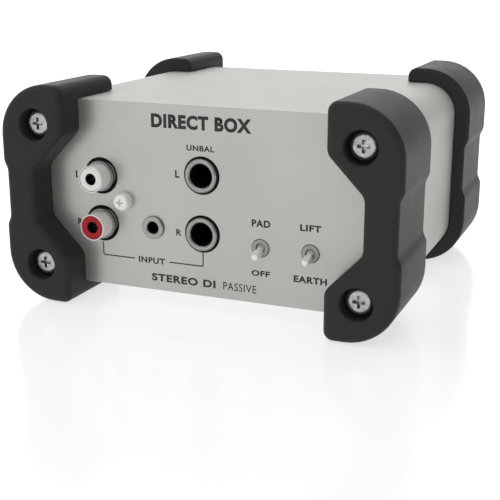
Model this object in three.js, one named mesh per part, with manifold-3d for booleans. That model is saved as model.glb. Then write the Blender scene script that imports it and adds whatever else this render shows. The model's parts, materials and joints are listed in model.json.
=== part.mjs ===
// A two-channel passive direct injection box. An extruded aluminium sleeve is closed by a plate
// at each end, and four rubber guards are clamped over the corners by eight screws.
// Millimetres, +Z up, +Y to the rear. The origin is on the ground under the middle of the box.
import * as THREE from "three";
import { mergeVertices } from "three/addons/utils/BufferGeometryUtils.js";
import Module from "manifold-3d";

const wasm = await Module();
wasm.setup();

// Driving dimensions of the enclosure
const SLEEVE_WIDTH = 118;
const SLEEVE_HEIGHT = 59;
const SLEEVE_RADIUS = 10.5;
const SLEEVE_WALL = 2;
const PANEL_THICKNESS = 1.5;
const FACE_TO_FACE = 102.4;
const GAP = 0.3;

// Corner guards: walls around the sleeve, the cheek in front of the panel, and the side relief
const GUARD_SIDE_WALL = 5.3;
const GUARD_FLAT_WALL = 5;
const GUARD_CHEEK = 10.6;
const GUARD_REACH = 21.9;
const GUARD_CORNER = 16;
const GUARD_FILLET = 2.2;
const LOBE_EDGE = 42;
const LOBE_CORNER = 3;
const LOBE_FOOT = 19.8;
const WAIST_EDGE = 53.1;
const WAIST_HALF = 8.2;
const RELIEF_DEPTH = 1.2;
const RELIEF_HALF = 7.6;
const RELIEF_RAMP = 2.6;
const GUARD_BLEND = 4;

// Guard screws and the ports they run into
const SCREW_X = 52;
const SCREW_Z = 22.3;
const SCREW_SHANK = 1.7;
const SCREW_LENGTH = 17;
const SCREW_HEAD = 4.2;
const SCREW_DOME = 2.6;
const SCREW_RECESS = 2.8;
const SCREW_SEAT = SCREW_RECESS + SCREW_DOME - GUARD_CHEEK;
const COUNTERBORE = 4.9;
const PORT_RADIUS = 4.5;
const PORT_SIDES = 16;
const CLEARANCE_HOLE = SCREW_SHANK + GAP;

// Cross-headed screws: the crown's outline and the recess, as parts of the head radius and height
const CROWN = [[0.45, 0.96], [0.8, 0.84], [1, 0.45]];
const CROSS_WIDTH = 0.34;
const CROSS_REACH = 1.2;
const CROSS_DEPTH = 0.35;

// Front panel fittings, placed from the middle of the panel
const RCA_X = -34.85;
const RCA_Z = [5.85, -9.45];
const RCA_HOLE = 5.75;
const RCA_BARREL = 4.15;
const RCA_BARREL_BORE = 3.82;
const RCA_COLLAR = 4.85;
const RCA_COLLAR_SPAN = [-1.2, -0.2];
const RCA_PROUD = 6.9;
const RCA_SUNK = 7.4;
const RCA_INSULATOR = 3.68;
const RCA_SOCKET = 1.85;
const RCA_CONTACT = 1.55;
const RCA_CONTACT_BORE = 1.1;
const RCA_CONTACT_FRONT = -3.4;
const RCA_BLOCK = { width: 18.5, depth: 13, height: 29.5, shift: 3 };
const BLOCK_SCREW = [-26.75, -1.5];
const BLOCK_SCREW_SIZE = { head: 2.85, dome: 3.3, shank: 1.2, length: 8 };
const MINIJACK = [-16.8, -9.1];
const MINIJACK_NOSE = 2.85;
const MINIJACK_BORE = 1.85;
const MINIJACK_HOUSING = { width: 8.4, depth: 12, height: 7.4 };
const MINIJACK_NUT = { outer: 3.6, inner: 1.95, height: 0.6, chamfer: 0.3 };
const JACK_X = -0.15;
const JACK_Z = [8.55, -9.6];
const JACK_COLLAR = 5.5;
const JACK_BORE = 3.25;
const JACK_HOUSING = { width: 15.6, depth: 23, half: 8.1, back: 1.2 };
const JACK_NUT = { outer: 5.15, inner: 3.7, height: 0.85, chamfer: 0.4 };
const COLLAR_PROUD = 0.4;
const SWITCH_X = [18.95, 34.7];
const SWITCH_Z = -12;
const SWITCH_BUSH = 2.5;
const SWITCH_BUSH_BORE = 1.8;
const SWITCH_BUSH_SPAN = [-0.3, 3];
const SWITCH_CLOSER = { width: 6.6, thickness: 0.8, height: 12.7 };
const SWITCH_HOUSING = { width: 6.8, depth: 8.6, height: 12.9, bore: 2.3, tail: 4.6 };
const LEVER_TILT = THREE.MathUtils.degToRad(13);
const LEVER_PIVOT = 2.2;
const LEVER_PROFILE = [
  [0, -7.4], [0.75, -7.3], [1.15, -6.9], [1.25, -6.3], [1.1, -4.4], [0.75, -1.3], [1.4, -0.7],
  [1.5, 0], [1.4, 0.7], [0.75, 1.3], [0.7, 3.6], [0.4, 4], [0, 4],
];
const LEVER_FLAT = { half: 0.85, from: -8.5, to: -5.9 };

// Rear panel fittings
const XLR_X = [-22, 22];
const XLR_CUP = 8.15;
const XLR_BARREL = 11.6;
const XLR_FLANGE = [26, 31];
const XLR_FLANGE_CORNER = 3;
const XLR_FLANGE_THICKNESS = 2;
const XLR_DEPTH = 21;
const XLR_INSERT_DEPTH = 8;
const XLR_FIXING = [9.5, 12];
const XLR_SCREW = { head: 2.75, sunk: 0.1, cone: 1.35, shank: 1.5, length: 8 };
const XLR_PIN_CIRCLE = 5.5;
const XLR_PIN = 1.2;
const XLR_PIN_TIP = [[0, 0.6], [0.7, 0.8]];

// The board and the two transformers on it
const BOARD_TOP = -19.2;
const BOARD_THICKNESS = 1.6;
const BOARD_HALF_WIDTH = 46.5;
const BOARD_END_GAP = 1;
const TRANSFORMER_X = 24;
const CORE = { width: 22, depth: 13, height: 18 };
const CORE_WINDOW = { width: 4, height: 10.5, x: 5.5 };
const WINDING = { width: 14.4, depth: 20, height: 9.9, boreWidth: 7.6, boreDepth: 13.6 };

const MIDDLE_HEIGHT = SLEEVE_HEIGHT / 2 + GUARD_FLAT_WALL;

const satinAluminium = { color: 0xb9b9b4, roughness: 0.42, metalness: 0.75 };
const guardRubber = { color: 0x363636, roughness: 0.7, metalness: 0 };
const zincSteel = { color: 0xb8b8b4, roughness: 0.35, metalness: 0.9 };
const brightNickel = { color: 0xd4d4d0, roughness: 0.18, metalness: 1 };
const blackPlastic = { color: 0x151515, roughness: 0.5, metalness: 0 };
const whitePlastic = { color: 0xe6e6e2, roughness: 0.4, metalness: 0 };
const redPlastic = { color: 0xa8202a, roughness: 0.4, metalness: 0 };
const boardLaminate = { color: 0x1f5a36, roughness: 0.55, metalness: 0 };
const laminationSteel = { color: 0x6f6f70, roughness: 0.5, metalness: 0.8 };
const copperWinding = { color: 0xb0703c, roughness: 0.45, metalness: 0.7 };

// A three.js geometry as a manifold solid, with its shared vertices merged and slivers dropped
function toSolid(geometry) {
  geometry.deleteAttribute("normal");
  geometry.deleteAttribute("uv");
  const merged = mergeVertices(geometry, 1e-4);
  const index = merged.index.array;
  const triangles = [];
  for (let i = 0; i < index.length; i += 3) {
    const [a, b, c] = [index[i], index[i + 1], index[i + 2]];
    if (a !== b && b !== c && c !== a) {
      triangles.push(a, b, c);
    }
  }
  const vertProperties = new Float32Array(merged.attributes.position.array);
  const triVerts = new Uint32Array(triangles);
  return new wasm.Manifold(new wasm.Mesh({ numProp: 3, vertProperties, triVerts }));
}

function toGeometry(solid) {
  const mesh = solid.getMesh();
  const geometry = new THREE.BufferGeometry();
  geometry.setAttribute("position", new THREE.BufferAttribute(mesh.vertProperties, 3));
  geometry.setIndex(new THREE.BufferAttribute(mesh.triVerts, 1));
  geometry.computeVertexNormals();
  return geometry;
}

function piece(name, geometry, look) {
  const mesh = new THREE.Mesh(geometry, new THREE.MeshStandardMaterial(look));
  mesh.name = name;
  return mesh;
}

// A closed outline through [x, z, radius] corners, each rounded by an arc
function roundedOutline(corners) {
  const outline = new THREE.Shape();
  corners.forEach(([x, z, radius], index) => {
    const corner = new THREE.Vector2(x, z);
    const before = new THREE.Vector2(...corners.at(index - 1)).sub(corner).normalize();
    const after = new THREE.Vector2(...corners[(index + 1) % corners.length]).sub(corner).normalize();
    const half = before.angleTo(after) / 2;
    const inward = before.clone().add(after).normalize();
    const centre = corner.clone().addScaledVector(inward, radius / Math.sin(half));
    const reach = radius / Math.tan(half);
    const start = corner.clone().addScaledVector(before, reach).sub(centre);
    const end = corner.clone().addScaledVector(after, reach).sub(centre);
    const clockwise = before.cross(after) > 0;
    outline.absarc(centre.x, centre.y, radius, start.angle(), end.angle(), clockwise);
  });
  return outline;
}

function roundedRectangle(width, height, radius) {
  const x = width / 2;
  const z = height / 2;
  return roundedOutline([[x, -z, radius], [x, z, radius], [-x, z, radius], [-x, -z, radius]]);
}

// An outline in X and Z made solid from y = front to y = back
function plate(outline, front, back, curveSegments = 6) {
  const settings = { depth: back - front, bevelEnabled: false, curveSegments };
  return toSolid(new THREE.ExtrudeGeometry(outline, settings).rotateX(Math.PI / 2).translate(0, back, 0));
}

function box(sizeX, sizeY, sizeZ, x, y, z) {
  return toSolid(new THREE.BoxGeometry(sizeX, sizeY, sizeZ).translate(x, y, z));
}

// A cylinder along Y from y = front to y = back
function rod(radius, front, back, x = 0, z = 0, sides = 24) {
  const geometry = new THREE.CylinderGeometry(radius, radius, back - front, sides);
  return toSolid(geometry.translate(x, (front + back) / 2, z));
}

// A body turned round Y from a closed profile of [radius, y] points, front first
function turned(profile, sides = 24) {
  return toSolid(new THREE.LatheGeometry(profile.map(([r, y]) => new THREE.Vector2(r, y)), sides));
}

const SMALL_HOLE = 3;

// Holes given as [x, z, radius] cut along Y; small ones have fewer sides
function drilled(solid, holes, front, back) {
  return holes.reduce((body, [x, z, radius]) => {
    const sides = radius < SMALL_HOLE ? 12 : 24;
    return body.subtract(rod(radius, front, back, x, z, sides));
  }, solid);
}

const guardScrewPlaces = [[SCREW_X, SCREW_Z], [SCREW_X, -SCREW_Z], [-SCREW_X, SCREW_Z], [-SCREW_X, -SCREW_Z]];

// The extruded sleeve: an outer skin with a round screw port in each inner corner
function sleeveGeometry() {
  const half = FACE_TO_FACE / 2 - PANEL_THICKNESS;
  const [width, height] = [SLEEVE_WIDTH - 2 * SLEEVE_WALL, SLEEVE_HEIGHT - 2 * SLEEVE_WALL];
  const outer = plate(roundedRectangle(SLEEVE_WIDTH, SLEEVE_HEIGHT, SLEEVE_RADIUS), -half, half);
  const inner = roundedRectangle(width, height, SLEEVE_RADIUS - SLEEVE_WALL);
  let body = outer.subtract(plate(inner, -half - 1, half + 1));
  for (const [x, z] of guardScrewPlaces) {
    body = body.add(rod(PORT_RADIUS, -half, half, x, z, PORT_SIDES).intersect(outer));
  }
  const ports = guardScrewPlaces.map(([x, z]) => [x, z, CLEARANCE_HOLE]);
  return toGeometry(drilled(body, ports, -half - 1, half + 1));
}

// A plate panel, its outer face at y = 0
function panelGeometry(holes) {
  const blank = plate(roundedRectangle(SLEEVE_WIDTH, SLEEVE_HEIGHT, SLEEVE_RADIUS), 0, PANEL_THICKNESS);
  const screws = guardScrewPlaces.map(([x, z]) => [x, z, CLEARANCE_HOLE]);
  return toGeometry(drilled(blank, [...screws, ...holes], -1, PANEL_THICKNESS + 1));
}

// A guard for the +X side: lobed cheek in front of the panel, wrap behind it, edges of the
// cheek rounded, and a counterbored hole in each lobe
function guardGeometry() {
  const side = SLEEVE_WIDTH / 2 + GUARD_SIDE_WALL;
  const top = SLEEVE_HEIGHT / 2 + GUARD_FLAT_WALL;
  const lowerHalf = [
    [LOBE_EDGE, -LOBE_FOOT, GUARD_BLEND], [LOBE_EDGE, -top, LOBE_CORNER], [side, -top, GUARD_CORNER],
    [side, -RELIEF_HALF - RELIEF_RAMP, GUARD_BLEND], [side - RELIEF_DEPTH, -RELIEF_HALF, GUARD_BLEND],
  ];
  const upperHalf = lowerHalf.map(([x, z, radius]) => [x, -z, radius]).reverse();
  const waist = [[WAIST_EDGE, WAIST_HALF, GUARD_BLEND], [WAIST_EDGE, -WAIST_HALF, GUARD_BLEND]];
  const outline = roundedOutline([...lowerHalf, ...upperHalf, ...waist]);
  const rounded = new THREE.ExtrudeGeometry(outline, {
    depth: GUARD_CHEEK + GUARD_REACH, curveSegments: 3, bevelSegments: 2,
    bevelThickness: GUARD_FILLET, bevelSize: GUARD_FILLET, bevelOffset: -GUARD_FILLET,
  });
  const block = toSolid(rounded.rotateX(Math.PI / 2).translate(0, GUARD_REACH + GUARD_FILLET, 0));
  const trim = box(4 * side, 4 * GUARD_FILLET, 4 * top, 0, GUARD_REACH + 2 * GUARD_FILLET, 0);
  const pocket = plate(
    roundedRectangle(SLEEVE_WIDTH + 2 * GAP, SLEEVE_HEIGHT + 2 * GAP, SLEEVE_RADIUS + GAP),
    0, GUARD_REACH + 1);
  let guard = block.subtract(trim).subtract(pocket);
  for (const z of [SCREW_Z, -SCREW_Z]) {
    guard = guard.subtract(rod(COUNTERBORE, -GUARD_CHEEK - 1, SCREW_SEAT, SCREW_X, z, 16));
    guard = guard.subtract(rod(CLEARANCE_HOLE, SCREW_SEAT - 1, 1, SCREW_X, z, 12));
  }
  return toGeometry(guard);
}

// A cross recess at y = front, sunk to y = floor in a head of the given radius
function crossRecess(head, front, floor) {
  const [slot, reach] = [head * CROSS_WIDTH, head * CROSS_REACH];
  const [deep, middle] = [floor - front, (floor + front) / 2];
  return box(reach, deep, slot, 0, middle, 0).add(box(slot, deep, reach, 0, middle, 0));
}

// A domed screw with a cross recess, its seat at y = 0 and its head towards -Y
function screwGeometry({ head, dome, shank, length }, sides = 12) {
  const crown = CROWN.map(([out, up]) => [out * head, -up * dome]);
  const body = turned([
    [0, -dome], ...crown, [head, 0], [shank, 0],
    [shank, length - shank / 2], [shank / 2, length], [0, length],
  ], sides);
  return toGeometry(body.subtract(crossRecess(head, -dome - 1, -dome * (1 - CROSS_DEPTH))));
}

// A countersunk screw with a cross recess, flush at y = 0
function flushScrewGeometry() {
  const { head, sunk, cone, shank, length } = XLR_SCREW;
  const body = turned([
    [0, sunk], [head - sunk, sunk], [head, 3 * sunk], [shank, cone + 3 * sunk],
    [shank, length - shank / 2], [shank / 2, length], [0, length],
  ], 12);
  return toGeometry(body.subtract(crossRecess(head, sunk - 1, cone)));
}

// The moulded block behind the panel that carries both phono sockets
function rcaBlockGeometry() {
  const { width, depth, height, shift } = RCA_BLOCK;
  const middleZ = (RCA_Z[0] + RCA_Z[1]) / 2;
  const [screwX, screwZ] = BLOCK_SCREW;
  const { shank, length } = BLOCK_SCREW_SIZE;
  let block = box(width, depth, height, RCA_X + shift, PANEL_THICKNESS + depth / 2, middleZ);
  for (const z of RCA_Z) {
    block = block.subtract(rod(RCA_BARREL + GAP, 0, RCA_SUNK + 2 * GAP, RCA_X, z));
  }
  return toGeometry(block.subtract(rod(shank + GAP, 0, length + 2, screwX, screwZ, 12)));
}

// Phono socket barrel: a plated tube with a collar at its root, open at the mouth
function rcaBarrelGeometry() {
  const [collarFront, collarBack] = RCA_COLLAR_SPAN;
  return toGeometry(turned([
    [RCA_BARREL_BORE, -RCA_PROUD], [RCA_BARREL, GAP / 2 - RCA_PROUD], [RCA_BARREL, collarFront],
    [RCA_COLLAR, collarFront], [RCA_COLLAR, collarBack], [RCA_BARREL, collarBack],
    [RCA_BARREL, RCA_SUNK], [RCA_BARREL_BORE, RCA_SUNK], [RCA_BARREL_BORE, -RCA_PROUD],
  ]));
}

function rcaInsulatorGeometry() {
  const face = GAP - RCA_PROUD;
  const back = RCA_SUNK - GAP;
  return toGeometry(turned([
    [RCA_SOCKET, face], [RCA_INSULATOR - GAP, face], [RCA_INSULATOR, face + GAP],
    [RCA_INSULATOR, back], [RCA_SOCKET, back], [RCA_SOCKET, face],
  ]));
}

// The spring contact: a tube inside the insulator, closed at the back
function rcaContactGeometry() {
  const closed = RCA_SUNK - 6 * GAP;
  return toGeometry(turned([
    [RCA_CONTACT_BORE, RCA_CONTACT_FRONT], [RCA_CONTACT, RCA_CONTACT_FRONT], [RCA_CONTACT, RCA_SUNK],
    [0, RCA_SUNK], [0, closed], [RCA_CONTACT_BORE, closed], [RCA_CONTACT_BORE, RCA_CONTACT_FRONT],
  ], 16));
}

function miniJackBodyGeometry() {
  const [x, z] = MINIJACK;
  const { width, depth, height } = MINIJACK_HOUSING;
  const housing = box(width, depth, height, x, PANEL_THICKNESS + depth / 2, z);
  const nose = rod(MINIJACK_NOSE, -COLLAR_PROUD, PANEL_THICKNESS + 1, x, z, 20);
  return toGeometry(housing.add(nose).subtract(rod(MINIJACK_BORE, -1, depth - 1, x, z, 16)));
}

// A round nut with a chamfered rim, its seat at y = 0
function ringNutGeometry({ outer, inner, height, chamfer }, sides = 24) {
  return toGeometry(turned([
    [inner, -height + chamfer / 2], [inner + chamfer / 2, -height], [outer - chamfer, -height],
    [outer, -height + chamfer], [outer, 0], [inner, 0], [inner, -height + chamfer / 2],
  ], sides));
}

// Quarter-inch socket: a boxed body on the board with a round collar through the panel
function jackBodyGeometry(bottom) {
  const { width, depth, half, back } = JACK_HOUSING;
  const [middleY, middleZ] = [PANEL_THICKNESS + depth / 2, (half + bottom) / 2];
  const housing = box(width, depth, half - bottom, 0, middleY, middleZ);
  const collar = rod(JACK_COLLAR, -COLLAR_PROUD, PANEL_THICKNESS + 1);
  const bore = rod(JACK_BORE, -1, PANEL_THICKNESS + depth - back, 0, 0, 20);
  return toGeometry(housing.add(collar).subtract(bore));
}

// Toggle frame: a threaded bush through the panel on a flat plate that closes the switch
function switchFrameGeometry() {
  const [front, back] = SWITCH_BUSH_SPAN;
  const { width, thickness, height } = SWITCH_CLOSER;
  const bush = rod(SWITCH_BUSH, front, back, 0, 0, 20);
  const closer = box(width, thickness, height, 0, back, 0);
  return toGeometry(bush.add(closer).subtract(rod(SWITCH_BUSH_BORE, front - 1, back + 1, 0, 0, 16)));
}

function switchBodyGeometry() {
  const { width, depth, height, bore, tail } = SWITCH_HOUSING;
  const front = SWITCH_BUSH_SPAN[1] + SWITCH_CLOSER.thickness / 2;
  const housing = box(width, depth, height, 0, front + depth / 2, 0);
  return toGeometry(housing.subtract(rod(bore, front - 1, front + tail, 0, 0, 16)));
}

// Bat lever about its own pivot: a ball, a tail into the switch and a tip flattened above and below
function leverGeometry() {
  const { half, from, to } = LEVER_FLAT;
  const [length, middle] = [to - from, (to + from) / 2];
  return toGeometry([-1, 1].reduce((stem, side) => (
    stem.subtract(box(4, length, 2, 0, middle, side * (half + 1)))
  ), turned(LEVER_PROFILE, 12)));
}

// Male three-pin chassis connector: flange, barrel and the cup that the cable plug enters
function xlrShellGeometry() {
  const outline = roundedRectangle(...XLR_FLANGE, XLR_FLANGE_CORNER);
  const flange = plate(outline, -XLR_FLANGE_THICKNESS, 0, 3);
  const barrel = rod(XLR_BARREL, -1, XLR_DEPTH, 0, 0, 28);
  const cup = rod(XLR_CUP, -XLR_FLANGE_THICKNESS - 1, XLR_DEPTH + 1, 0, 0, 28);
  const { head, sunk, cone, shank } = XLR_SCREW;
  const [fixX, fixZ] = XLR_FIXING;
  let shell = flange.add(barrel).subtract(cup);
  for (const [x, z] of [[-fixX, fixZ], [fixX, -fixZ]]) {
    const countersink = turned([
      [0, -1], [head + GAP, -1], [head + GAP, 3 * sunk], [shank + GAP, cone + 3 * sunk],
      [shank + GAP, XLR_FLANGE_THICKNESS + 1], [0, XLR_FLANGE_THICKNESS + 1],
    ], 12);
    shell = shell.subtract(countersink.translate([x, -XLR_FLANGE_THICKNESS, z]));
  }
  return toGeometry(shell);
}

const xlrPinPlaces = [[-45, 1], [45, 2], [180, 3]].map(([turn, number]) => {
  const angle = THREE.MathUtils.degToRad(turn);
  return [XLR_PIN_CIRCLE * Math.sin(angle), XLR_PIN_CIRCLE * Math.cos(angle), number];
});

// The moulded disc at the bottom of the cup, with a clearance hole for each pin
function xlrInsertGeometry() {
  const back = XLR_DEPTH - 1;
  const disc = rod(XLR_CUP - GAP, back - XLR_INSERT_DEPTH, back, 0, 0, 28);
  const holes = xlrPinPlaces.map(([x, z]) => [x, z, XLR_PIN + GAP]);
  return toGeometry(drilled(disc, holes, back - XLR_INSERT_DEPTH - 1, back + 1));
}

function xlrPinGeometry() {
  const back = XLR_DEPTH + 2;
  return toGeometry(turned([...XLR_PIN_TIP, [XLR_PIN, 1.6], [XLR_PIN, back], [0, back]], 12));
}

function transformerCoreGeometry() {
  const { width, depth, height } = CORE;
  const windows = [-1, 1].map((side) => (
    box(CORE_WINDOW.width, depth + 2, CORE_WINDOW.height, side * CORE_WINDOW.x, 0, height / 2)
  ));
  const stack = box(width, depth, height, 0, 0, height / 2);
  return toGeometry(windows.reduce((core, opening) => core.subtract(opening), stack));
}

// The winding round the middle leg of the core, proud of it at front and rear
function transformerWindingGeometry() {
  const { width, depth, height, boreWidth, boreDepth } = WINDING;
  const middle = CORE.height / 2;
  const leg = box(boreWidth, boreDepth, height + 2, 0, 0, middle);
  return toGeometry(box(width, depth, height, 0, 0, middle).subtract(leg));
}

const injectionBox = new THREE.Group();
const front = new THREE.Group();
front.position.set(0, -FACE_TO_FACE / 2, MIDDLE_HEIGHT);
const rear = new THREE.Group();
rear.position.set(0, FACE_TO_FACE / 2, MIDDLE_HEIGHT);
rear.rotation.z = Math.PI;
const inside = new THREE.Group();
inside.position.set(0, 0, MIDDLE_HEIGHT);
injectionBox.add(front, rear, inside);

function place(group, mesh, x = 0, y = 0, z = 0) {
  mesh.position.set(x, y, z);
  group.add(mesh);
  return mesh;
}

function addEnclosure() {
  inside.add(piece("sleeve", sleeveGeometry(), satinAluminium));
  const guard = guardGeometry();
  const screw = screwGeometry({
    head: SCREW_HEAD, dome: SCREW_DOME, shank: SCREW_SHANK, length: SCREW_LENGTH,
  });
  for (const [end, group, mirror] of [["front", front, 1], ["rear", rear, -1]]) {
    for (const [hand, side] of [["right", mirror], ["left", -mirror]]) {
      const mesh = place(group, piece(`guard_${end}_${hand}`, guard, guardRubber));
      mesh.rotation.y = side > 0 ? 0 : Math.PI;
      for (const [level, up] of [["upper", 1], ["lower", -1]]) {
        const name = `guard_screw_${end}_${hand}_${level}`;
        place(group, piece(name, screw, zincSteel), side * SCREW_X, SCREW_SEAT, up * SCREW_Z);
      }
    }
  }
}

function addPanels() {
  const rcaHoles = RCA_Z.map((z) => [RCA_X, z, RCA_HOLE]);
  const jackHoles = JACK_Z.map((z) => [JACK_X, z, JACK_COLLAR + GAP]);
  const switchHoles = SWITCH_X.map((x) => [x, SWITCH_Z, SWITCH_BUSH + GAP]);
  const small = [[...BLOCK_SCREW, BLOCK_SCREW_SIZE.shank + GAP], [...MINIJACK, MINIJACK_NOSE + GAP]];
  const frontHoles = [...rcaHoles, ...jackHoles, ...switchHoles, ...small];
  front.add(piece("front_panel", panelGeometry(frontHoles), satinAluminium));
  const [fixX, fixZ] = XLR_FIXING;
  const fixing = XLR_SCREW.shank + GAP;
  const rearHoles = XLR_X.flatMap((x) => [
    [x, 0, XLR_BARREL + GAP], [x - fixX, fixZ, fixing], [x + fixX, -fixZ, fixing],
  ]);
  rear.add(piece("rear_panel", panelGeometry(rearHoles), satinAluminium));
}

function addPhonoSockets() {
  front.add(piece("rca_block", rcaBlockGeometry(), blackPlastic));
  const colours = [["upper", whitePlastic], ["lower", redPlastic]];
  colours.forEach(([level, look], row) => {
    const z = RCA_Z[row];
    place(front, piece(`rca_barrel_${level}`, rcaBarrelGeometry(), brightNickel), RCA_X, 0, z);
    place(front, piece(`rca_insulator_${level}`, rcaInsulatorGeometry(), look), RCA_X, 0, z);
    place(front, piece(`rca_contact_${level}`, rcaContactGeometry(), brightNickel), RCA_X, 0, z);
  });
  const screw = screwGeometry(BLOCK_SCREW_SIZE);
  place(front, piece("rca_block_screw", screw, zincSteel), BLOCK_SCREW[0], 0, BLOCK_SCREW[1]);
}

function addJacks() {
  front.add(piece("minijack_body", miniJackBodyGeometry(), blackPlastic));
  const nut = ringNutGeometry(MINIJACK_NUT, 16);
  place(front, piece("minijack_nut", nut, brightNickel), MINIJACK[0], -COLLAR_PROUD, MINIJACK[1]);
  const ring = ringNutGeometry(JACK_NUT);
  const bottoms = [-JACK_HOUSING.half, BOARD_TOP - JACK_Z[1]];
  ["upper", "lower"].forEach((level, row) => {
    const z = JACK_Z[row];
    place(front, piece(`jack_body_${level}`, jackBodyGeometry(bottoms[row]), blackPlastic), JACK_X, 0, z);
    place(front, piece(`jack_nut_${level}`, ring, brightNickel), JACK_X, -COLLAR_PROUD, z);
  });
}

function addSwitches() {
  ["pad", "lift"].forEach((duty, column) => {
    const x = SWITCH_X[column];
    place(front, piece(`switch_frame_${duty}`, switchFrameGeometry(), zincSteel), x, 0, SWITCH_Z);
    place(front, piece(`switch_body_${duty}`, switchBodyGeometry(), blackPlastic), x, 0, SWITCH_Z);
    const lever = piece(`switch_lever_${duty}`, leverGeometry(), brightNickel);
    place(front, lever, x, LEVER_PIVOT, SWITCH_Z);
    lever.rotation.x = LEVER_TILT;
  });
}

// The rear group is turned round, so the connector on the +X side stands at -x inside it
function addOutputs() {
  const shell = xlrShellGeometry();
  const insert = xlrInsertGeometry();
  const pin = xlrPinGeometry();
  const screw = flushScrewGeometry();
  const [fixX, fixZ] = XLR_FIXING;
  ["right", "left"].forEach((hand, column) => {
    const x = XLR_X[column];
    place(rear, piece(`xlr_shell_${hand}`, shell, zincSteel), x);
    place(rear, piece(`xlr_insert_${hand}`, insert, blackPlastic), x);
    for (const [pinX, pinZ, number] of xlrPinPlaces) {
      place(rear, piece(`xlr_pin_${hand}_${number}`, pin, brightNickel), x + pinX, 0, pinZ);
    }
    for (const [level, up] of [["upper", 1], ["lower", -1]]) {
      const name = `xlr_screw_${hand}_${level}`;
      place(rear, piece(name, screw, zincSteel), x - up * fixX, -XLR_FLANGE_THICKNESS, up * fixZ);
    }
  });
}

function addBoard() {
  const length = FACE_TO_FACE - 2 * (PANEL_THICKNESS + BOARD_END_GAP);
  const board = box(2 * BOARD_HALF_WIDTH, length, BOARD_THICKNESS, 0, 0, BOARD_TOP - BOARD_THICKNESS / 2);
  inside.add(piece("circuit_board", toGeometry(board), boardLaminate));
  for (const [hand, x] of [["left", -TRANSFORMER_X], ["right", TRANSFORMER_X]]) {
    const core = piece(`transformer_core_${hand}`, transformerCoreGeometry(), laminationSteel);
    place(inside, core, x, 0, BOARD_TOP);
    const winding = piece(`transformer_winding_${hand}`, transformerWindingGeometry(), copperWinding);
    place(inside, winding, x, 0, BOARD_TOP);
  }
}

addEnclosure();
addPanels();
addPhonoSockets();
addJacks();
addSwitches();
addOutputs();
addBoard();

export default injectionBox;
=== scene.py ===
"""A two-channel passive direct injection box: satin aluminium sleeve and end plates, four moulded
rubber corner guards, phono, mini and quarter-inch inputs, two toggles and two rear connectors."""

import json
import math

import bpy
from bpy.props import FloatProperty, FloatVectorProperty, IntProperty, PointerProperty
from bpy.types import NodeSocket, Operator, Panel, PropertyGroup
from mathutils import Matrix, Vector


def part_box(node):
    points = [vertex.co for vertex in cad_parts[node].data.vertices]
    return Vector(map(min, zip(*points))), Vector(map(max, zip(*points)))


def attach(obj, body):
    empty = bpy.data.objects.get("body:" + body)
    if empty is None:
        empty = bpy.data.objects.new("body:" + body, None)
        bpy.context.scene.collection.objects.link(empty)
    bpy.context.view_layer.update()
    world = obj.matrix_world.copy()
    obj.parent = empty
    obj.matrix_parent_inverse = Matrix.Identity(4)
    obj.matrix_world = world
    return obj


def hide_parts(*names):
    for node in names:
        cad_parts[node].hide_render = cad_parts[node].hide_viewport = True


bl_info = {
    "name": "Direct Injection Box",
    "version": (1, 0, 0),
    "blender": (4, 5, 0),
    "location": "3D View > Sidebar > DI Box",
    "description": "Builds the pieces and finishes of a rubber-cornered direct injection box",
    "category": "Object",
}

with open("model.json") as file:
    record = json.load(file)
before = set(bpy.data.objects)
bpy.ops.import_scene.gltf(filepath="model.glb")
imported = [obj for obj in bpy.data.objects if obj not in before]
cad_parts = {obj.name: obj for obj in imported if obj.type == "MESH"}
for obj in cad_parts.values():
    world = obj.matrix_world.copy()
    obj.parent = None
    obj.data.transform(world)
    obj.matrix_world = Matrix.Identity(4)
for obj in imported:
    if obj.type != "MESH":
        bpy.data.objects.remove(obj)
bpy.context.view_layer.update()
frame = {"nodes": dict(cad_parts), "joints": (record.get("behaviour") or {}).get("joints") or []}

MM = 0.001
FULL_TURN = 2 * math.pi
ENCLOSURE = "enclosure"
HANDS = ("left", "right")
LEVELS = ("upper", "lower")
ENDS = ("front", "rear")


def linear(hex_colour):
    """An sRGB hex colour as linear red, green and blue."""
    channels = [int(hex_colour[i:i + 2], 16) / 255 for i in (1, 3, 5)]
    return tuple(c / 12.92 if c <= 0.04045 else ((c + 0.055) / 1.055) ** 2.4 for c in channels)


def node_middle(name):
    """The middle of a node's box at rest, in millimetres."""
    low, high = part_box(name)
    return (low + high) / 2 / MM


def node_edges(name):
    """The lowest and highest corner of a node at rest, in millimetres."""
    low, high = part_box(name)
    return low / MM, high / MM


SLEEVE_LOW, SLEEVE_HIGH = node_edges("sleeve")
PANEL_LOW, PANEL_HIGH = node_edges("front_panel")
GUARD_LOW, GUARD_HIGH = node_edges("guard_front_right")
MIDDLE_HEIGHT = (SLEEVE_LOW.z + SLEEVE_HIGH.z) / 2
FACE = PANEL_LOW.y
SCREW_X = node_middle("guard_screw_front_right_upper").x
SCREW_Z = node_middle("guard_screw_front_right_upper").z - MIDDLE_HEIGHT
SCREW_SPOTS = [(sx * SCREW_X, MIDDLE_HEIGHT + sz * SCREW_Z) for sx in (1, -1) for sz in (1, -1)]
# In millimetres: the radius of the holes that the guards' screws pass through, the height of
# their heads, the gap between a guard and the sleeve, how far a cutter runs past what it cuts,
# how close two places count as one, and how close two points are merged as drawn and as cut
SCREW_CLEARANCE = 2.0
GUARD_SCREW_DOME = 2.6
GAP = 0.3
OVERRUN = 1.0
SAME_PLACE = 0.01
DOUBLES = 0.001
SLIVER = 0.002
# A cross recess: its radius and depth as shares of the head's radius, its arms' reach and breadth
# as shares of its own, and how far they narrow towards its floor
RECESS_SIZE = 0.95
RECESS_DEPTH = 0.34
ARM_REACH = 1.3
ARM_BREADTH = 0.34
ARM_TAPER = 0.45
HOLE_STEPS = 48


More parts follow.
